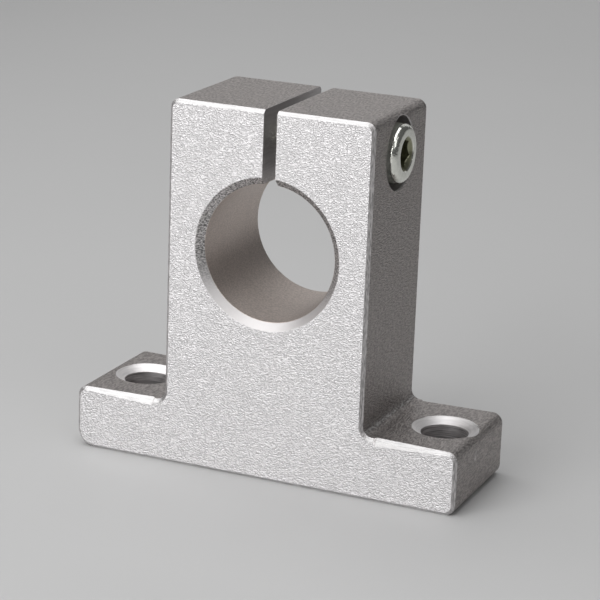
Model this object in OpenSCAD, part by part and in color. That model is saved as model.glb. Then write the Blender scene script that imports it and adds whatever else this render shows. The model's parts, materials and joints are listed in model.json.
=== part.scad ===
// Shaft support block: an extruded foot-and-tower section sawn to length, bored for a round shaft,
// slotted from the bore to the top and drawn closed by one socket head cap screw.
// X runs across the feet, Y along the shaft, Z up. The origin is the middle of the base.

/* [Section] */
// Width across the two feet
base_w = 48; // [44:0.5:60]
// Thickness of the feet
foot_h = 7.5; // [5:0.25:10]
// Width of the tower
tower_w = 25; // [23:0.5:28]
// Height of the tower top above the base
block_h = 43.6; // [43.2:0.1:46]
// Length of the block along the shaft
block_l = 16; // [12:0.5:24]

/* [Edges] */
// Radius of the two top corners of the tower
tower_corner_r = 1.1; // [0.6:0.1:2]
// Radius of the upper corners of the feet
foot_top_r = 1.2; // [0.6:0.1:2]
// Radius of the lower corner of the right foot
right_foot_bottom_r = 1.2; // [0.6:0.1:2.5]
// Radius of the lower corner of the left foot, which was filed rounder
left_foot_bottom_r = 2.2; // [0.6:0.1:2.5]
// Radius of the fillets between the feet and the tower
fillet_r = 1.2; // [0.6:0.1:3]
// Width of the bevel filed round both sawn faces
edge_break = 0.4; // [0.1:0.05:0.5]
// Width that this bevel swells to on top of the feet, beside the tower
foot_break = 0.8; // [0.5:0.05:1]
// How far from the end of the fillet it is that wide
foot_break_at = 0.45; // [0.3:0.05:3]

/* [Shaft bore] */
// Diameter of the shaft that the block carries
shaft_d = 16; // [12:0.5:16.5]
// How much wider the bore is than the shaft while the screw is slack
bore_clearance = 0.1; // [0.02:0.01:0.3]
// Height of the shaft centre above the base
shaft_h = 27; // [24:0.25:27.5]
// Width of the bevel at both ends of the bore
bore_bevel = 0.85; // [0.2:0.05:1.2]
// Width of the clamping slot
slot_w = 1.6; // [1:0.1:2.5]

/* [Fixing holes] */
// Distance from the end of the left foot to its fixing hole
left_hole_in = 5.2; // [4.4:0.1:6]
// Distance from the end of the right foot to its fixing hole
right_hole_in = 4.4; // [4.4:0.1:6]
// Diameter of the fixing holes
hole_d = 5.5; // [3.5:0.1:6.5]
// Width of the drilled bevel round the top of each fixing hole
hole_bevel = 1.15; // [0.2:0.05:1.5]
// Point angle of the drill that cut that bevel
drill_angle = 118; // [90:1:135]

/* [Clamp screw] */
// Thread diameter of the screw
screw_d = 4; // [3:0.5:4.5]
// Length of the screw under its head
screw_l = 16; // [13:0.5:20]
// Diameter of the screw head
head_d = 6.8; // [6:0.1:7.5]
// Height of the screw head
head_h = 4; // [3:0.1:5]
// Radius of the rim of the head
head_rim_r = 0.4; // [0.1:0.05:0.6]
// How far the head stands out of the flank
head_proud = 0.8; // [0.2:0.1:1.5]
// Width across the flats of the key socket
socket_af = 3; // [2:0.1:3.5]
// Depth of the key socket to the end of its flats
socket_depth = 2; // [1:0.1:2.5]
// Width of the bevel at the mouth of the key socket, from its flats
socket_bevel = 0.55; // [0.3:0.05:0.6]
// Angle that the screw has come to rest at
screw_angle = 15; // [0:1:59]
// Length of the bevelled start of the thread
screw_lead = 0.6; // [0.2:0.1:1]

/* [Screw hole] */
// Gap round the head in its counterbore
head_gap = 0.9; // [0.2:0.05:1]
// Gap round the screw in the right ear, which it passes through
ear_gap = 0.25; // [0.1:0.05:0.5]
// Gap round the screw in the left ear, which it is threaded into
thread_gap = 0.05; // [0.02:0.01:0.08]
// Width of the bevel where the threaded hole comes out of the left flank
thread_bevel = 0.35; // [0.1:0.05:0.6]
// Metal left between the counterbore and the tower top
top_cover = 0.5; // [0.2:0.1:1]

/* [Hidden] */
$fn = 96;
lap = 0.05;                                    // how far a cutter runs past the face that it cuts
swell_gap = 0.15;                              // how far the bevel's swell keeps from the corners
run_on = 0.1;                                  // share of its side that the swell's cutter runs past it
bore_r = (shaft_d + bore_clearance) / 2;
hole_r = hole_d / 2;
screw_r = screw_d / 2;
head_r = head_d / 2;
counterbore_r = head_r + head_gap;
screw_h = block_h - top_cover - counterbore_r; // height of the screw above the base
flank_x = tower_w / 2;
seat_x = flank_x + head_proud - head_h;        // the counterbore floor, which the head bears on
socket_corner_r = socket_af / 2 / cos(30);

// The section's corners, anticlockwise from the lower left, each with its x, height and radius.
corners = [
    [-base_w / 2, 0, left_foot_bottom_r],
    [base_w / 2, 0, right_foot_bottom_r],
    [base_w / 2, foot_h, foot_top_r],
    [flank_x, foot_h, fillet_r],
    [flank_x, block_h, tower_corner_r],
    [-flank_x, block_h, tower_corner_r],
    [-flank_x, foot_h, fillet_r],
    [-base_w / 2, foot_h, foot_top_r]
];

function corner(i) = corners[(i + len(corners)) % len(corners)];
function spot(i) = [corner(i).x, corner(i).y];
function heading(i) = (spot(i + 1) - spot(i)) / norm(spot(i + 1) - spot(i)); // of the side after corner i
function bearing(v) = atan2(v.y, v.x);
function turn(i) = sign(cross(heading(i - 1), heading(i)));                   // 1 outside corner, -1 inside
function centre(i) = spot(i) + corner(i).z * (heading(i) - heading(i - 1));  // of the corner's arc
function straight(i) = norm(spot(i + 1) - spot(i)) - corner(i).z - corner(i + 1).z;

// Places a shape, drawn in the first quadrant, between the centre of corner i's arc and the corner.
module at_corner(i) {
    translate(centre(i))
        rotate(bearing(heading(i - 1)) - (turn(i) > 0 ? 90 : 0)) children();
}

module quarter_disc(r) {
    intersection() {
        circle(r);
        square(r + lap);
    }
}

module section() {
    difference() {
        union() {
            translate([-base_w / 2, 0]) square([base_w, foot_h]);
            translate([-flank_x, 0]) square([tower_w, block_h]);
        }
        for (i = [0:len(corners) - 1]) if (turn(i) > 0) at_corner(i) square(corner(i).z + lap);
    }
    for (i = [0:len(corners) - 1]) at_corner(i) {
        if (turn(i) > 0) quarter_disc(corner(i).z);
        else difference() {
            square(corner(i).z + lap);
            quarter_disc(corner(i).z);
        }
    }
}

// The triangle that cuts the bevel, drawn on an edge at the origin, with the block on the given side.
module bevel_triangle(side) {
    polygon([
        [-side * lap, lap],
        [side * (edge_break + lap), lap],
        [-side * lap, -edge_break - lap]
    ]);
}

// The bevel along the straight side after corner i.
module side_bevel(i) {
    translate(spot(i) + corner(i).z * heading(i))
        rotate(bearing(heading(i)))
            rotate([90, 0, 90])
                linear_extrude(straight(i)) bevel_triangle(1);
}

// The bevel round corner i: the same triangle turned about the centre of the corner's arc.
module corner_bevel(i) {
    at_corner(i)
        rotate_extrude(angle = 90)
            translate([corner(i).z, 0]) bevel_triangle(-turn(i));
}

// The swell of the bevel on top of the foot after corner i, which leads up to or away from the tower.
// It is a flat triangle drawn on the bevel's own slope; its two long sides run on into the open air.
module foot_swell(i) {
    rest = edge_break * sin(45);
    peak = [turn(i) < 0 ? foot_break_at : straight(i) - foot_break_at, foot_break * sin(45)];
    ends = [[swell_gap, rest], [straight(i) - swell_gap, rest]];
    translate(spot(i) + corner(i).z * heading(i))
        rotate([-45, 0, bearing(heading(i))])
            linear_extrude(2 * foot_break + 2 * lap, center = true)
                polygon([for (end = ends) end + (end - peak) * run_on, peak]);
}

// Turns a shape drawn on the section, with z along the block, into the block's own frame.
module stand_up() {
    rotate([90, 0, 0]) children();
}

// Repeats a cutter on both sawn faces.
module both_ends() {
    for (end = [0, 1])
        mirror([0, 0, end]) translate([0, 0, block_l / 2]) children();
}

module shaft_bore() {
    cylinder(r = bore_r, h = block_l + 2 * lap, center = true);
    both_ends()
        translate([0, 0, -bore_bevel])
            cylinder(r1 = bore_r, r2 = bore_r + bore_bevel + lap, h = bore_bevel + lap);
}

module clamp_slot() {
    translate([-slot_w / 2, 0, -block_l / 2 - lap])
        cube([slot_w, block_h - shaft_h + lap, block_l + 2 * lap]);
}

module fixing_hole() {
    drill_slope = tan(drill_angle / 2);
    translate([0, 0, -lap]) cylinder(r = hole_r, h = foot_h + 2 * lap);
    translate([0, 0, foot_h - hole_bevel / drill_slope])
        cylinder(r1 = hole_r, r2 = hole_r + hole_bevel + lap * drill_slope,
                 h = hole_bevel / drill_slope + lap);
}

// Cut from the right flank: counterbore, clearance hole and, past the slot, the threaded hole.
module screw_hole() {
    tapped_r = screw_r + thread_gap;
    rotate([0, 90, 0]) {
        translate([0, 0, seat_x]) cylinder(r = counterbore_r, h = flank_x - seat_x + lap);
        cylinder(r = screw_r + ear_gap, h = seat_x + lap);
        translate([0, 0, -flank_x - lap]) cylinder(r = tapped_r, h = flank_x + 2 * lap);
        translate([0, 0, -flank_x - lap])
            cylinder(r1 = tapped_r + thread_bevel + lap, r2 = tapped_r, h = thread_bevel + lap);
    }
}

module block() {
    color("gainsboro")
        difference() {
            stand_up() linear_extrude(block_l, center = true) section();
            stand_up() both_ends() for (i = [0:len(corners) - 1]) {
                side_bevel(i);
                corner_bevel(i);
                if (heading(i).y == 0 && turn(i) * turn(i + 1) < 0) foot_swell(i);
            }
            stand_up() translate([0, shaft_h, 0]) {
                shaft_bore();
                clamp_slot();
            }
            for (x = [left_hole_in - base_w / 2, base_w / 2 - right_hole_in])
                translate([x, 0, 0]) fixing_hole();
            translate([0, 0, screw_h]) screw_hole();
        }
}

module screw_head() {
    difference() {
        rotate_extrude() difference() {
            square([head_r, head_h]);
            translate([head_r - head_rim_r, head_h - head_rim_r])
                difference() {
                    square(head_rim_r + lap);
                    circle(head_rim_r);
                }
        }
        key_socket();
    }
}

// A hexagon pressed into a drilled hole, whose point is left below it.
module key_socket() {
    translate([0, 0, head_h - socket_depth])
        cylinder(r = socket_corner_r, h = socket_depth + lap, $fn = 6);
    translate([0, 0, head_h - socket_depth - socket_af / 2 / tan(drill_angle / 2)])
        cylinder(r1 = 0, r2 = socket_af / 2, h = socket_af / 2 / tan(drill_angle / 2));
    translate([0, 0, head_h - socket_bevel])
        cylinder(r1 = socket_af / 2, r2 = socket_af / 2 + socket_bevel + lap, h = socket_bevel + lap);
}

module screw_shank() {
    translate([0, 0, -screw_l + screw_lead]) cylinder(r = screw_r, h = screw_l - screw_lead + lap);
    translate([0, 0, -screw_l]) cylinder(r1 = screw_r - screw_lead, r2 = screw_r, h = screw_lead);
}

module clamp_screw() {
    color("silver")
        translate([seat_x, 0, screw_h])
            rotate([screw_angle, 0, 0])
                rotate([0, 90, 0]) {
                    screw_head();
                    screw_shank();
                }
}

block();
clamp_screw();
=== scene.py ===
import json
import math

import bpy
import numpy as np
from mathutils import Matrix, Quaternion, Vector


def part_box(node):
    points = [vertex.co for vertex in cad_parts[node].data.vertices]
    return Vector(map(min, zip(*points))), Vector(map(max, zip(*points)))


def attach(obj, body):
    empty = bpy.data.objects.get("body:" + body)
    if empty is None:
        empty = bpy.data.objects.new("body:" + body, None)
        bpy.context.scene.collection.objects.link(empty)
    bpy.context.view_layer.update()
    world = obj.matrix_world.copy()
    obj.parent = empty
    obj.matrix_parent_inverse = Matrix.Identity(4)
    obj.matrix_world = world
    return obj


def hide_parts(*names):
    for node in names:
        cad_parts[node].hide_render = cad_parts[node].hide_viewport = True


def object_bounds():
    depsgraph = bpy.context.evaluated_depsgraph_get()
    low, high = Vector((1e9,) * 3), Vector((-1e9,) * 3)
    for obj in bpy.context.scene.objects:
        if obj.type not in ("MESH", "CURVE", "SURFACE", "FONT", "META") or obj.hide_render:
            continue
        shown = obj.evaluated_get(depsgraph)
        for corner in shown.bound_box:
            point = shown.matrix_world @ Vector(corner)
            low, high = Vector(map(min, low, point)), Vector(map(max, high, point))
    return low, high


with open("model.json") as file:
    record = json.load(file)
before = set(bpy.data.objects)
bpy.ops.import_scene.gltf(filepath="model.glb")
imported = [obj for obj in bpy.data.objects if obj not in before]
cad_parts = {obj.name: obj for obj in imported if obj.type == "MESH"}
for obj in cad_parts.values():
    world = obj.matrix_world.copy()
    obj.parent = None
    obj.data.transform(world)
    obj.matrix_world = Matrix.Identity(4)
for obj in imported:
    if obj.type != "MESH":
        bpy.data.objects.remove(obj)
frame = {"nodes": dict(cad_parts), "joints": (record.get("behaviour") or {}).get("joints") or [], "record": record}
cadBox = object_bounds()
print("frame loaded:", ", ".join(sorted(frame["nodes"])))

# Shapes are worked out in millimetres, as the part's drawings are, and become metres in putMesh.
mm = 0.001
turn = 2 * math.pi
sharpAngle = 32             # degrees between two faces from which their edge stays sharp


def inMm(values):
    return np.array(values, float) / mm


mounts = {mount["name"]: mount for mount in frame["record"]["mounts"]}
blockHigh = inMm(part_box("block")[1])
screwLow, screwHigh = (inMm(corner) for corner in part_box("clamp_screw"))
screwSeat = inMm(frame["joints"][0]["pos_m"])     # on the screw's axis, at the face under its head
boreHeight = inMm(mounts["shaft_bore"]["pos_m"])[2]
boreRadius = mounts["shaft_bore"]["dims"]["r_mm"]
holeMiddle = inMm(mounts["foot_holes"]["pos_m"])[0]
holeOffset = mounts["foot_holes"]["dims"]["spacing_x_mm"] / 2
holeRadius = mounts["foot_holes"]["dims"]["hole_r_mm"]


# Joins a grid of rows and columns into faces. The columns always close on themselves. The rows
# close too where no end points are given, and otherwise a fan to its end point closes each end.
def putMesh(name, rows, endPoints=None):
    corners = np.arange(rows.shape[0] * rows.shape[1]).reshape(rows.shape[:2])
    points = rows.reshape(-1, 3)
    if endPoints is None:
        corners = np.concatenate([corners, corners[:1]])
    beside = np.roll(corners, -1, axis=1)
    quads = np.stack([corners[:-1], corners[1:], beside[1:], beside[:-1]], axis=-1)
    faces = quads.reshape(-1, 4).tolist()
    if endPoints is not None:
        start, end = len(points), len(points) + 1
        points = np.concatenate([points, endPoints])
        faces += [[start, a, b] for a, b in zip(corners[0].tolist(), beside[0].tolist())]
        faces += [[end, b, a] for a, b in zip(corners[-1].tolist(), beside[-1].tolist())]
    mesh = bpy.data.meshes.new(name)
    mesh.from_pydata((points * mm).tolist(), [], faces)
    mesh.shade_smooth()
    mesh.set_sharp_from_angle(angle=math.radians(sharpAngle))
    return putObject(name, mesh)


def putObject(name, data):
    holder = bpy.data.objects.new(name, data)
    bpy.context.scene.collection.objects.link(holder)
    return holder


# Rings round the screw's axis. Each row has one x, and a radius for every angle from +Y towards +Z.
def ringsAboutScrew(xs, radii, angles):
    x = np.broadcast_to(np.asarray(xs, float)[:, None], radii.shape)
    y = screwSeat[1] + radii * np.cos(angles)
    z = screwSeat[2] + radii * np.sin(angles)
    return np.stack([x, y, z], axis=-1)


# The height of a thread, from 0 in its root to 1 on its crest: a wave in x over the pitch, less the
# angle over a full turn, so that the crest climbs one pitch a turn, with flat roots and crests.
def threadWave(xs, angles, pitch, crestShare, rootShare):
    phase = np.mod(xs[:, None] / pitch - angles[None, :] / turn, 1)
    climb = 1 - 2 * np.abs(phase - 0.5)
    return np.clip((climb - rootShare) / (1 - rootShare - crestShare), 0, 1)


# Goes smoothly from 0 at low to 1 at high: 3t^2 - 2t^3, where t is the share of the way.
def easeIn(values, low, high):
    share = np.clip((values - low) / (high - low), 0, 1)
    return share * share * (3 - 2 * share)


# Writes one material's nodes: each call adds a node and returns the output that the next one reads.
class nodeWriter:
    def __init__(self, name):
        self.material = bpy.data.materials.new(name)
        self.material.use_nodes = True
        self.tree = self.material.node_tree
        self.tree.nodes.clear()

    def add(self, kind, feeds, out=0, **settings):
        node = self.tree.nodes.new(kind)
        for key, value in settings.items():
            setattr(node, key, value)
        for key, value in feeds.items():
            if isinstance(value, bpy.types.NodeSocket):
                self.tree.links.new(value, node.inputs[key])
            else:
                node.inputs[key].default_value = value
        return node.outputs[out]

    def calc(self, operation, *values):
        return self.add("ShaderNodeMath", dict(enumerate(values)), operation=operation)

    def both(self, first, second):
        return self.calc("MULTIPLY", first, second)

    def either(self, first, *others):
        for other in others:
            first = self.calc("MAXIMUM", first, other)
        return first

    def without(self, first, second):
        return self.both(first, self.calc("SUBTRACT", 1, second))

    # How far a value is from a level, on either side of it.
    def awayFrom(self, value, level):
        return self.calc("ABSOLUTE", self.calc("SUBTRACT", value, level))

    # The level plus the reach times the texture's distance from its middle value of 0.5.
    def swing(self, texture, reach, level):
        return self.calc("MULTIPLY_ADD", self.calc("SUBTRACT", texture, 0.5), reach, level)

    # 0 up to low and 1 from high, with a smooth change between. It falls where low is over high.
    def step(self, value, low, high):
        feeds = {"Value": value, "From Min": low, "From Max": high}
        return self.add("ShaderNodeMapRange", feeds, interpolation_type="SMOOTHSTEP")

    # 1 where the value is under the limit, with an edge of that softness.
    def under(self, value, limit, softness=0.02):
        return self.step(value, limit + softness, limit - softness)

    def over(self, value, limit, softness=0.02):
        return self.step(value, limit - softness, limit + softness)

    def blend(self, share, first, second):
        return self.add("ShaderNodeMix", {0: share, 2: first, 3: second})

    def tint(self, share, first, second):
        feeds = {0: share, 6: self.opaque(first), 7: self.opaque(second)}
        return self.add("ShaderNodeMix", feeds, out=2, data_type="RGBA")

    @staticmethod
    def opaque(colour):
        return colour if isinstance(colour, bpy.types.NodeSocket) else (*colour, 1)

    # Lays each value over the ones before it, as far as its zone reaches.
    def layers(self, mix, lowest, *layers):
        for zone, value in layers:
            lowest = mix(zone, lowest, value)
        return lowest

    def shaded(self, colour, shade):
        return self.add("ShaderNodeVectorMath", {0: colour, 3: shade}, operation="SCALE")

    # Noise from 0 to 1 over a place that is first stretched by the given scale along X, Y and Z.
    def noise(self, place, scale, detail=2.0, out=0):
        stretched = self.add("ShaderNodeMapping", {"Vector": place, "Scale": scale})
        feeds = {"Vector": stretched, "Scale": 1, "Detail": detail}
        return self.add("ShaderNodeTexNoise", feeds, out)

    # The place on the piece in millimetres, with the given point as its zero.
    def placeInMm(self, origin=(0, 0, 0)):
        place = self.add("ShaderNodeTexCoord", {}, out="Object")
        shift = tuple(-value / mm for value in origin)
        feeds = {"Vector": place, "Location": shift, "Scale": (1 / mm,) * 3}
        return self.add("ShaderNodeMapping", feeds)

    # The place pushed about by a coarser noise, so that a grain laid on it winds and runs together.
    def pushed(self, place, scale, reach):
        push = self.noise(place, scale, detail=1.0, out="Color")
        feeds = {0: push, 1: (reach,) * 3, 2: place}
        return self.add("ShaderNodeVectorMath", feeds, operation="MULTIPLY_ADD")

    def split(self, place):
        node = self.add("ShaderNodeSeparateXYZ", {0: place}).node
        return node.outputs[0], node.outputs[1], node.outputs[2]

    # Distance from an axis, from the two coordinates across it.
    def distance(self, first, second, centre=(0, 0)):
        across = self.calc("SUBTRACT", first, centre[0])
        up = self.calc("SUBTRACT", second, centre[1])
        square = self.calc("MULTIPLY_ADD", across, across, self.calc("MULTIPLY", up, up))
        return self.calc("SQRT", square)

    def bump(self, height, depth, normal=None):
        feeds = {"Height": height, "Distance": depth * mm}
        if normal is not None:
            feeds["Normal"] = normal
        return self.add("ShaderNodeBump", feeds)

    def finish(self, **feeds):
        names = {"colour": "Base Color", "roughness": "Roughness",
                 "metallic": "Metallic", "normal": "Normal"}
        feeds = {names[key]: value for key, value in feeds.items()}
        shader = self.add("ShaderNodeBsdfPrincipled", feeds)
        output = self.tree.nodes.new("ShaderNodeOutputMaterial")
        self.tree.links.new(shader, output.inputs["Surface"])
        return self.material


def dress(piece, material):
    piece.data.materials.clear()
    piece.data.materials.append(material)


# The block's own measures that the record doesn't hold, in mm, and the finish of each kind of face.
blockFinish = {
    "margin": 0.04,                   # how far a zone reaches past its edge
    "boreBevel": 0.85,
    "holeBevel": 1.15,
    "slotWidth": 1.6,
    "footTop": 7.5,
    "flank": 12.5,
    "counterboreRadius": 4.3,
    "counterboreBreak": 0.25,         # how far its mouth is broken
    "screwHoleRadius": 2.5,

    "bevelLean": (0.3, 0.8),          # how far a filed bevel faces along Y, of 1 for a sawn face
    "swellLean": 0.6,                 # a bevel that faces less along Y is the blunt end of a swell
    "levelLean": 0.6,                 # a bevel that faces more along Z runs level
    "levelEdge": 0.1,

    "filletTop": 8.8,
    "filletLine": 12.85,              # where the painted highlight along a fillet lies, from the middle of the block
    "filletLineWidth": 0.12,
    "filletLineEdge": 0.1,
    "nick": (-1.5, 5.2),              # its place on the right foot's end, along Y and Z
    "nickSize": (0.14, 0.6),
    "nickEdges": (0.06, 0.2),
    "nickSlope": 0.3,                 # along Y to a millimetre along Z
    "wornShare": 0.8,

    "sawnColour": (0.725, 0.71, 0.715),
    # painted shade: the skin is coloured far darker than the sawn faces, standing in for shade on the flanks
    "skinColour": (0.42, 0.39, 0.38),
    "filedColour": (0.70, 0.69, 0.69),
    # the upright bevels are filed less, and are also coloured darker as painted shade
    "uprightColour": (0.58, 0.56, 0.56),
    "drilledColour": (0.60, 0.58, 0.58),
    "boreColour": (0.62, 0.55, 0.51),
    "boreBevelColour": (0.75, 0.73, 0.73),
    "holeBevelColour": (0.90, 0.88, 0.88),
    "sawnRoughness": 0.50,
    "skinRoughness": 0.46,
    "filedRoughness": 0.50,
    "machinedRoughness": 0.46,
    "bevelRoughness": 0.50,

    # Textures: how many pits, strokes or marks there are to a millimetre along X, Y and Z.
    "sawnGrain": (4.8, 3.6, 7.5),
    "skinGrain": (5.0, 1.7, 6.5),
    "grainWind": (1.4, 1.4, 1.4),     # bends to a millimetre in a row of pits
    "grainReach": 0.20,               # how far a row of pits wanders
    "grainEdges": (0.30, 0.70),       # noise at a pit's floor and at its rim
    "dust": (6, 6, 8),
    "blotches": (0.3, 0.3, 0.3),
    "dieLines": (5.0, 0.03, 5.0),
    "levelStrokes": (0.5, 9.0, 9.0),
    "uprightStrokes": (8.0, 8.0, 1.2),
    "strokeEdges": (0.35, 0.65),
    "boreMarks": (0.35, 9.0, 0.35),
    "boreBlasting": 0.5,              # share of the pits among the marks in the bore
    "holeMarks": (0.35, 0.35, 7.0),
    "chatterRise": (21.0, 27.0),      # height over which the tool's chatter on the bore's bevel, and the painted shade on it, come in

    # How deep each texture is, in mm, and how much it changes the colour.
    "sawnDepth": 0.06,
    "skinDepth": 0.045,
    "filedDepth": 0.02,
    "dustDepth": 0.006,
    "dieLineDepth": 0.006,
    "markDepth": 0.006,
    "sawnContrast": 0.25,
    "skinContrast": 0.50,
    "levelContrast": 0.2,
    "uprightContrast": 0.6,
    "markContrast": 0.45,
    "chatterContrast": 0.9,
    "chatterShade": 0.32,             # painted shade: how much darker the bore's bevel is coloured towards its top, where the chatter comes in
    "holeMarkContrast": 2.2,
    "blotchShare": 0.1,
}


# Where each kind of face lies, from 0 to 1. A hole's zone is the distance from its axis up to the rim
# of its bevel. The rest is told apart by how far it faces along Y: a sawn face does so wholly, a
# filed bevel in part and the extruded skin not at all.
def blockZones(w, place, look):
    x, y, z = w.split(place)
    fromMiddle = w.calc("ABSOLUTE", x)
    margin = look["margin"]

    fromBore = w.distance(x, z, (0, boreHeight))
    bore = w.under(fromBore, boreRadius + look["boreBevel"] + margin)
    boreWall = w.under(fromBore, boreRadius + margin)

    fromHole = w.distance(w.awayFrom(x, holeMiddle), y, (holeOffset, 0))
    inFoot = w.under(z, look["footTop"] - margin)
    holes = w.both(w.under(fromHole, holeRadius + look["holeBevel"] + margin), inFoot)
    holeWalls = w.both(w.under(fromHole, holeRadius + margin), inFoot)

    slot = w.both(w.under(fromMiddle, look["slotWidth"] / 2 + margin), w.over(z, boreHeight))

    fromScrew = w.distance(y, z, (screwSeat[1], screwSeat[2]))
    insideFlanks = w.under(fromMiddle, look["flank"] - margin)
    screwHole = w.both(w.under(fromScrew, look["screwHoleRadius"]), insideFlanks)
    pastSeat = w.both(w.over(x, screwSeat[0] - margin), insideFlanks)
    counterbore = w.both(w.under(fromScrew, look["counterboreRadius"] + margin), pastSeat)

    normal = w.add("ShaderNodeNewGeometry", {}, out="True Normal")
    _, leanY, leanZ = (w.calc("ABSOLUTE", part) for part in w.split(normal))
    low, high = look["bevelLean"]
    machined = w.either(bore, holes, slot, counterbore, screwHole)
    bevels = w.without(w.either(w.without(bore, boreWall), w.without(holes, holeWalls)), slot)
    leaning = w.both(w.over(leanY, low, margin), w.under(leanY, high, margin))
    filed = w.without(leaning, machined)
    return {
        "machined": machined,
        "bore": bore,
        "boreWall": boreWall,
        "boreBevel": w.both(bevels, bore),
        "holeWalls": w.both(holeWalls, machined),
        "bevels": bevels,
        "counterbore": counterbore,
        "filed": filed,
        "level": w.over(leanZ, look["levelLean"], look["levelEdge"]),
        "swellEnd": w.both(filed, w.under(leanY, look["swellLean"])),
        "skin": w.without(w.under(leanY, low, margin), machined),
    }


# Blasting: short pits that lie along the face, one stretched noise on a place that winds.
def blastedPits(w, place, skin, look):
    winding = w.pushed(place, look["grainWind"], look["grainReach"])
    onSawn, onSkin = (w.noise(winding, look[name], detail=1.0) for name in ("sawnGrain", "skinGrain"))
    return w.step(w.blend(skin, onSawn, onSkin), *look["grainEdges"])


# A file's strokes: a noise drawn out along X on a level bevel and along Z on an upright one.
def fileStrokes(w, place, level, look):
    onUpright, onLevel = (w.noise(place, look[name]) for name in ("uprightStrokes", "levelStrokes"))
    return w.step(w.blend(level, onUpright, onLevel), *look["strokeEdges"])


# Rings round the bore and the fixing holes: a noise drawn out across each one's axis, which the bore
# mixes with its blasting.
def toolMarks(w, place, bore, pits, look):
    inBore = w.blend(look["boreBlasting"], w.noise(place, look["boreMarks"]), pits)
    return w.blend(bore, w.noise(place, look["holeMarks"]), inBore)


# A painted highlight: a lighter line along each fillet, broken up by the pits. And one real nick, which is
# a short slanting line in the right foot's end.
def nickAndPaintedHighlight(w, place, skin, pits, look):
    x, y, z = w.split(place)
    margin = look["margin"]
    fromLine = w.awayFrom(w.calc("ABSOLUTE", x), look["filletLine"])
    line = w.under(fromLine, look["filletLineWidth"], look["filletLineEdge"])
    besideFillet = w.both(w.under(z, look["filletTop"]), w.over(z, look["footTop"] - margin))
    paintedHighlight = w.both(w.both(line, besideFillet), w.both(skin, pits))

    nickY, nickZ = look["nick"]
    width, length = look["nickSize"]
    widthEdge, lengthEdge = look["nickEdges"]
    along = w.calc("SUBTRACT", z, nickZ)
    across = w.calc("SUBTRACT", w.calc("SUBTRACT", y, nickY), w.both(along, look["nickSlope"]))
    inWidth = w.under(w.calc("ABSOLUTE", across), width, widthEdge)
    inLength = w.under(w.calc("ABSOLUTE", along), length, lengthEdge)
    onEnd = w.both(w.over(x, blockHigh[0] - margin), skin)
    return w.both(w.either(paintedHighlight, w.both(w.both(inWidth, inLength), onEnd)), look["wornShare"])


# The smooth normal, but on the blunt ends of the swells the face's own with only its parts along Y
# and Z, as though handling had rubbed them round.
def rubbedNormal(w, swellEnd):
    straight = w.add("ShaderNodeNewGeometry", {}, out="True Normal")
    smooth = w.add("ShaderNodeNewGeometry", {}, out="Normal")
    flattened = w.add("ShaderNodeVectorMath", {0: straight, 1: (0, 1, 1)}, operation="MULTIPLY")
    flattened = w.add("ShaderNodeVectorMath", {0: flattened}, operation="NORMALIZE")
    return w.add("ShaderNodeMix", {0: swellEnd, 4: smooth, 5: flattened}, out=1, data_type="VECTOR")


# Colour: each zone's own, times a shade, which is 1 plus the zone's contrast times its texture's
# distance from 0.5, less a painted shade on the upper part of the bore's bevel. Relief: each texture times its
# depth.
def blockMaterial(look):
    w = nodeWriter("blastedAluminium")
    place = w.placeInMm()
    x, _, z = w.split(place)
    zone = blockZones(w, place, look)
    skin, filed, machined = zone["skin"], zone["filed"], zone["machined"]
    boreBevel = zone["boreBevel"]

    pits = blastedPits(w, place, skin, look)
    strokes = fileStrokes(w, place, zone["level"], look)
    marks = toolMarks(w, place, zone["bore"], pits, look)
    nickAndHighlight = nickAndPaintedHighlight(w, place, skin, pits, look)
    chatterAndShade = w.step(z, *look["chatterRise"])
    blotch = w.noise(place, look["blotches"], detail=3.0)

    filedColour = w.tint(zone["level"], look["uprightColour"], look["filedColour"])
    bevelColour = w.tint(zone["bore"], look["holeBevelColour"], look["boreBevelColour"])
    # The line along each fillet is a painted highlight, laid in the filed colour; the nick is real wear.
    colour = w.layers(
        w.tint, look["sawnColour"], (skin, look["skinColour"]), (filed, filedColour),
        (machined, look["drilledColour"]), (zone["boreWall"], look["boreColour"]),
        (zone["bevels"], bevelColour), (nickAndHighlight, look["filedColour"]))
    contrast = w.layers(
        w.blend, look["sawnContrast"], (skin, look["skinContrast"]),
        (filed, w.blend(zone["level"], look["uprightContrast"], look["levelContrast"])),
        (machined, look["markContrast"]), (boreBevel, w.both(chatterAndShade, look["chatterContrast"])),
        (zone["holeWalls"], look["holeMarkContrast"]))
    texture = w.layers(w.blend, pits, (filed, strokes), (w.without(machined, boreBevel), marks))
    shade = w.swing(texture, contrast, 1)
    # painted shade: the bore's bevel is coloured darker towards its top
    shade = w.calc("SUBTRACT", shade, w.both(w.both(boreBevel, chatterAndShade), look["chatterShade"]))
    colour = w.shaded(colour, w.both(shade, w.swing(blotch, look["blotchShare"], 1)))

    roughness = w.layers(
        w.blend, look["sawnRoughness"], (skin, look["skinRoughness"]), (filed, look["filedRoughness"]),
        (machined, look["machinedRoughness"]),
        (w.either(zone["bevels"], zone["counterbore"]), look["bevelRoughness"]))
    roughness = w.swing(blotch, look["blotchShare"], roughness)

    depth = w.layers(w.blend, look["sawnDepth"], (skin, look["skinDepth"]), (filed, look["filedDepth"]))
    dieLines = w.noise(place, look["dieLines"], detail=3.0)
    broken = w.step(x, look["flank"], look["flank"] - look["counterboreBreak"])
    surface = w.bump(w.without(w.both(pits, depth), machined), 1, rubbedNormal(w, zone["swellEnd"]))
    surface = w.bump(w.noise(place, look["dust"]), look["dustDepth"], surface)
    surface = w.bump(w.both(dieLines, skin), look["dieLineDepth"], surface)
    surface = w.bump(w.both(marks, machined), look["markDepth"], surface)
    surface = w.bump(w.both(broken, zone["counterbore"]), look["counterboreBreak"], surface)
    return w.finish(colour=colour, roughness=roughness, metallic=1.0, normal=surface)


dress(frame["nodes"]["block"], blockMaterial(blockFinish))
print("block finished")

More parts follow.
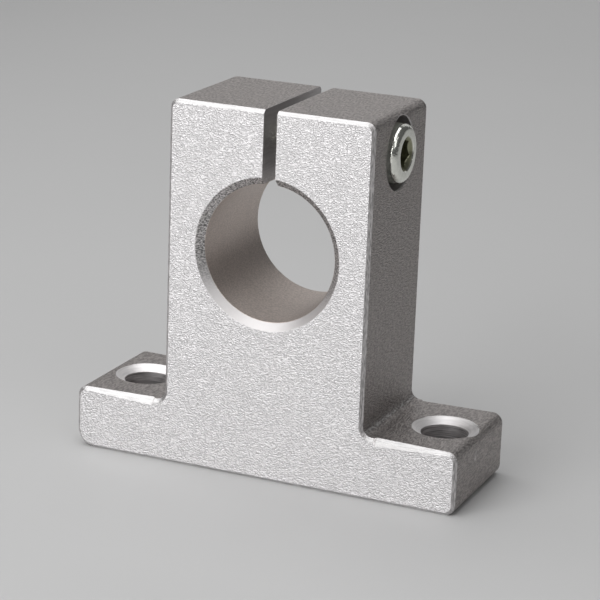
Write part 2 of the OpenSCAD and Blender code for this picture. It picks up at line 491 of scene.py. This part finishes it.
# The clamp screw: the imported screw's form, with its thread, knurl and socket worked out.
screwShape = {
    "columns": 192,
    "pitch": 0.7,
    "threadRows": 12,           # rows to a pitch
    "threadDepth": 0.43,
    "crestShare": 0.14,
    "rootShare": 0.22,
    "runOut": (0.5, 1.3),       # distance under the head over which the thread comes up to its depth
    "shankRadius": 2.0,
    "tipBevel": 0.6,
    "rimRadius": 0.7,
    "rimRows": 9,
    "rimGap": 0.02,             # from its last row to the side's first
    "socketFlats": 3.0,
    "socketCorner": 45,         # degrees from +Y
    "socketDepth": 2.0,
    "socketBevel": 0.55,
    "mouthDepth": 0.8,          # of the rows in which the socket's walls meet its mouth's cone
    "mouthRows": 12,
    "drillAngle": 118,
    "drillPoint": (0.03, 0.02), # radius of the row round the drill's point, and its rise
    "knurls": 48,
    "knurlDepth": 0.07,
    "knurlFrom": 0.75,          # below the top of the head
    "knurlTo": 3.75,
    "knurlFade": 0.2,
    "sideRows": 30,
    "colour": (0.83, 0.84, 0.78),
    # painted shade: the inside of the socket is coloured dark
    "socketColour": (0.30, 0.30, 0.21),
    "roughness": 0.15,
    "knurlRoughness": 0.50,
    "socketExtraRoughness": 0.2,
    "socketFloor": 3.1,         # below the top of the head, past the drill's point
    "socketEdge": 0.08,
    "faceEdge": 0.1,
    "shankMargin": 0.5,         # outside it a face under the rim is the head's side
    "stain": (1.6, 1.6, 1.6),   # clouds in the plating to a millimetre
    "stainContrast": 0.5,
    "stainGloss": 0.25,         # how far the clouds change the roughness
    "faceRings": 5.0,           # turning marks to a millimetre across the face
    "faceRingDepth": 0.006,
    "dents": (1.3, 1.3, 1.3),   # dents in the head to a millimetre
    "dentDepth": 0.07,
    "dentFade": 0.5,
    "scuffs": (14, 14, 14),
    "scuffDepth": 0.003,
}


def clampScrew(look):
    corner = math.radians(look["socketCorner"])
    angles = corner + turn * np.arange(look["columns"]) / look["columns"]
    topX, tipX, seatX = screwHigh[0], screwLow[0], screwSeat[0]
    headRadius = screwHigh[1] - screwSeat[1]
    flat = look["socketFlats"] / 2
    every = np.ones(len(angles))

    # The hexagon's radius at an angle: half the flats over the cosine of the angle to the next flat.
    sixth = turn / 6
    toFlat = np.mod(angles - corner, sixth) - sixth / 2
    hexagon = flat / np.cos(toFlat)

    # Socket, from the drill's point out: cone, ledge, then walls that meet the mouth's cone.
    pointDepth = look["socketDepth"] + flat / math.tan(math.radians(look["drillAngle"] / 2))
    pointRadius, pointRise = look["drillPoint"]
    mouthDepths = np.linspace(look["mouthDepth"], 0, look["mouthRows"])
    mouth = np.maximum(hexagon, (flat + look["socketBevel"] - mouthDepths)[:, None])
    ledge = np.stack([flat * every, hexagon])
    rows = [
        ringsAboutScrew([topX - pointDepth + pointRise], pointRadius * every[None], angles),
        ringsAboutScrew([topX - look["socketDepth"]] * 2, ledge, angles),
        ringsAboutScrew(topX - mouthDepths, mouth, angles),
    ]

    # Rim: a quarter circle from the face of the head down to its side.
    bend = np.linspace(0, turn / 4, look["rimRows"])
    rim = look["rimRadius"]
    rimX = topX - rim + rim * np.cos(bend)
    rimRadii = (headRadius - rim + rim * np.sin(bend))[:, None] * every
    rows.append(ringsAboutScrew(rimX, rimRadii, angles))

    # Side: the head's radius less a cosine wave round it, which fades in and out along the head.
    depths = np.linspace(rim + look["rimGap"], topX - seatX, look["sideRows"])
    start, end, fadeLength = look["knurlFrom"], look["knurlTo"], look["knurlFade"]
    fade = easeIn(depths, start, start + fadeLength) * (1 - easeIn(depths, end - fadeLength, end))
    wave = 0.5 - 0.5 * np.cos(look["knurls"] * angles)
    side = headRadius - look["knurlDepth"] * fade[:, None] * wave
    rows.append(ringsAboutScrew(topX - depths, side, angles))

    # Shank: the outer radius less the thread's depth, cut off by the cone of the tip's bevel.
    rowCount = int((seatX - tipX) / look["pitch"] * look["threadRows"])
    xs = np.linspace(seatX, tipX, rowCount)
    cut = 1 - threadWave(xs, angles, look["pitch"], look["crestShare"], look["rootShare"])
    started = easeIn(seatX - xs, *look["runOut"])[:, None]
    shank = look["shankRadius"] - look["threadDepth"] * cut * started
    tipCone = look["shankRadius"] - look["tipBevel"] + (xs - tipX)
    rows.append(ringsAboutScrew(xs, np.minimum(shank, tipCone[:, None]), angles))

    ends = [(topX - pointDepth, *screwSeat[1:]), (tipX, *screwSeat[1:])]
    return putMesh("threaded_clamp_screw", np.concatenate(rows), ends)


# Colour: the plating's, or in the socket a dark colour that is painted shade, times 1 plus the stain's contrast
# times its distance from 0.5.
# Relief: dents in the head, rings on its face and scuffs all over.
def screwMaterial(look):
    w = nodeWriter("zincPlatedSteel")
    place = w.placeInMm(screwSeat * mm)
    x, y, z = w.split(place)
    fromAxis = w.distance(y, z)
    headTop = screwHigh[0] - screwSeat[0]
    mouthRadius = look["socketFlats"] / 2 + look["socketBevel"]
    socketEdge, faceEdge = look["socketEdge"], look["faceEdge"]

    belowFace = w.under(x, headTop - faceEdge, socketEdge)
    inSocket = w.both(w.under(fromAxis, mouthRadius, socketEdge), belowFace)
    inSocket = w.both(inSocket, w.over(x, headTop - look["socketFloor"]))
    aboveRim = w.over(x, headTop - look["rimRadius"] / 2, faceEdge)
    onFace = w.both(aboveRim, w.over(fromAxis, mouthRadius, faceEdge))
    pastShank = w.over(fromAxis, look["shankRadius"] + look["shankMargin"])
    knurled = w.both(w.under(x, headTop - look["knurlFrom"], faceEdge), pastShank)

    stain = w.noise(place, look["stain"], detail=3.0)
    colour = w.tint(inSocket, look["colour"], look["socketColour"])
    colour = w.shaded(colour, w.swing(stain, look["stainContrast"], 1))
    roughness = w.swing(stain, look["stainGloss"], look["roughness"])
    roughness = w.calc("MULTIPLY_ADD", inSocket, look["socketExtraRoughness"], roughness)
    roughness = w.blend(knurled, roughness, look["knurlRoughness"])

    outward = w.add("ShaderNodeCombineXYZ", {0: fromAxis})
    rings = w.noise(outward, (look["faceRings"], 1, 1))
    dents = w.both(w.noise(place, look["dents"]), w.over(x, 0, look["dentFade"]))
    surface = w.bump(dents, look["dentDepth"])
    surface = w.bump(w.both(rings, onFace), look["faceRingDepth"], surface)
    surface = w.bump(w.noise(place, look["scuffs"]), look["scuffDepth"], surface)
    return w.finish(colour=colour, roughness=roughness, metallic=1.0, normal=surface)


screwPiece = clampScrew(screwShape)
dress(screwPiece, screwMaterial(screwShape))
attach(screwPiece, "screw")
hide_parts("clamp_screw")
print("clamp screw finished")

# The turns that show in the left ear's threaded hole, past the end of the screw.
earThread = {
    "columns": 96,
    "threadRows": 12,
    "holeRadius": 2.05,
    "crestRadius": 1.66,
    "sunk": 0.05,               # how deep the turns are rooted in the ear
    "mouthBevel": 0.35,
    "clearOfScrew": 0.08,
    "crestShare": 0.2,
    "rootShare": 0.12,
    # painted shade: the thread's roots are coloured darker than its crests
    "rootColour": (0.40, 0.39, 0.38),
    "crestColour": (0.62, 0.60, 0.59),
    "crestReach": 0.15,         # how far out a crest keeps its colour
    "crestEdge": 0.1,
    "roughness": 0.3,
    "cloud": (3, 3, 3),         # clouds to a millimetre
    "cloudGloss": 0.2,          # how far the clouds change the roughness
    "cloudDepth": 0.004,
}


# A tube: its outside is a plain cylinder, rooted in the ear, and its inside is the hole's radius
# less the thread's height, cut back at the mouth by a 45 degree cone.
def threadInEar(look):
    angles = turn * np.arange(look["columns"]) / look["columns"]
    mouthX = look["mouthBevel"] - blockFinish["flank"]
    endX = screwLow[0] - look["clearOfScrew"]
    xs = np.linspace(mouthX, endX, int((endX - mouthX) / screwShape["pitch"] * look["threadRows"]))
    height = threadWave(xs, angles, screwShape["pitch"], look["crestShare"], look["rootShare"])
    inside = look["holeRadius"] - (look["holeRadius"] - look["crestRadius"]) * height
    mouthCone = look["holeRadius"] - (xs - mouthX)
    inside = np.maximum(inside, mouthCone[:, None])
    outside = np.full((2, len(angles)), look["holeRadius"] + look["sunk"])
    rows = [ringsAboutScrew(xs, inside, angles), ringsAboutScrew([endX, mouthX], outside, angles)]
    return putMesh("ear_thread", np.concatenate(rows))


# Colour: the root's, darker as painted shade, and the crest's near the tips of the turns. Roughness and relief:
# one cloud.
def threadMaterial(look):
    w = nodeWriter("tappedAluminium")
    place = w.placeInMm(screwSeat * mm)
    _, y, z = w.split(place)
    cloud = w.noise(place, look["cloud"], detail=3.0)
    crest = w.under(w.distance(y, z), look["crestRadius"] + look["crestReach"], look["crestEdge"])
    colour = w.tint(crest, look["rootColour"], look["crestColour"])
    roughness = w.swing(cloud, look["cloudGloss"], look["roughness"])
    surface = w.bump(cloud, look["cloudDepth"])
    return w.finish(colour=colour, roughness=roughness, metallic=1.0, normal=surface)


earPiece = threadInEar(earThread)
dress(earPiece, threadMaterial(earThread))
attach(earPiece, "block")
print("ear thread finished")

# Angles are seen from the part: azimuth 0 is in front of it and grows to the right, in degrees.
studio = {
    "floorSize": 4.0,
    "floorCells": 8,
    "floorColour": (0.56, 0.56, 0.56),
    "floorWear": 0.97,          # share of that colour where the floor is worn
    "floorClouds": (0.02, 0.02, 0.02),      # to a millimetre
    "floorRoughness": 0.6,
    "surround": 0.10,
    "lamps": {
        "key": {"azimuth": -20, "elevation": 18, "distance": 0.45, "size": 0.37, "watts": 1.52},
        "overhead": {"azimuth": -80, "elevation": 73, "distance": 0.50, "size": 0.62, "watts": 2.1},
        "side": {"azimuth": 51, "elevation": 42, "distance": 0.50, "size": 0.30, "watts": 0.3},
        "back": {"azimuth": -170, "elevation": 21, "distance": 0.50, "size": 0.42, "watts": 0.23},
    },
}

# The aim is measured from the middle of the part, in metres, and the lens in millimetres.
camera = {
    "azimuth": 23.265,
    "elevation": 16.688,
    "roll": 2.127,
    "distance": 0.2676,
    "lens": 138.17,
    "sensor": 36,
    "reach": (0.01, 20),
    "aim": (0.0010, -0.0002, -0.0019),
}


# The unit vector from the part towards a place seen at that azimuth and elevation.
def towards(azimuth, elevation):
    a, e = math.radians(azimuth), math.radians(elevation)
    return Vector((math.sin(a) * math.cos(e), -math.cos(a) * math.cos(e), math.sin(e)))


# A flat grid: x and y run from -half to half, and z is 0.
def putFloor(look):
    steps = np.linspace(-look["floorSize"] / 2, look["floorSize"] / 2, look["floorCells"] + 1)
    xs, ys = np.meshgrid(steps, steps)
    points = np.stack([xs, ys, np.zeros_like(xs)], axis=-1).reshape(-1, 3)
    corners = np.arange(len(points)).reshape(xs.shape)
    near, far = corners[:-1], corners[1:]
    quads = np.stack([near[:, :-1], near[:, 1:], far[:, 1:], far[:, :-1]], axis=-1)
    mesh = bpy.data.meshes.new("floor")
    mesh.from_pydata(points.tolist(), [], quads.reshape(-1, 4).tolist())
    floor = putObject("floor", mesh)
    w = nodeWriter("paleFloor")
    cloud = w.noise(w.placeInMm(), look["floorClouds"], detail=3.0)
    nickAndHighlight = tuple(value * look["floorWear"] for value in look["floorColour"])
    colour = w.tint(cloud, look["floorColour"], nickAndHighlight)
    dress(floor, w.finish(colour=colour, roughness=look["floorRoughness"], metallic=0.0))


def putSurround(look):
    world = bpy.data.worlds.new("surround")
    bpy.context.scene.world = world
    world.use_nodes = True
    background = world.node_tree.nodes["Background"]
    background.inputs["Color"].default_value = (1, 1, 1, 1)
    background.inputs["Strength"].default_value = look["surround"]


def putLamps(look, centre):
    for name, lamp in look["lamps"].items():
        data = bpy.data.lights.new(name, "AREA")
        data.shape = "SQUARE"
        data.size = lamp["size"]
        data.energy = lamp["watts"]
        back = towards(lamp["azimuth"], lamp["elevation"])
        holder = putObject(name, data)
        holder.location = centre + back * lamp["distance"]
        holder.rotation_euler = (-back).to_track_quat("-Z", "Y").to_euler()


def putCamera(look, centre):
    data = bpy.data.cameras.new("camera")
    data.lens = look["lens"]
    data.sensor_width = look["sensor"]
    data.clip_start, data.clip_end = look["reach"]
    back = towards(look["azimuth"], look["elevation"])
    holder = putObject("camera", data)
    holder.location = centre + Vector(look["aim"]) + back * look["distance"]
    holder.rotation_mode = "QUATERNION"
    level = (-back).to_track_quat("-Z", "Y")
    holder.rotation_quaternion = Quaternion(back, math.radians(look["roll"])) @ level
    bpy.context.scene.camera = holder


middle = (cadBox[0] + cadBox[1]) / 2
putFloor(studio)
putSurround(studio)
putLamps(studio, middle)
putCamera(camera, middle)
bpy.context.scene.view_settings.view_transform = "Standard"
print("studio finished")
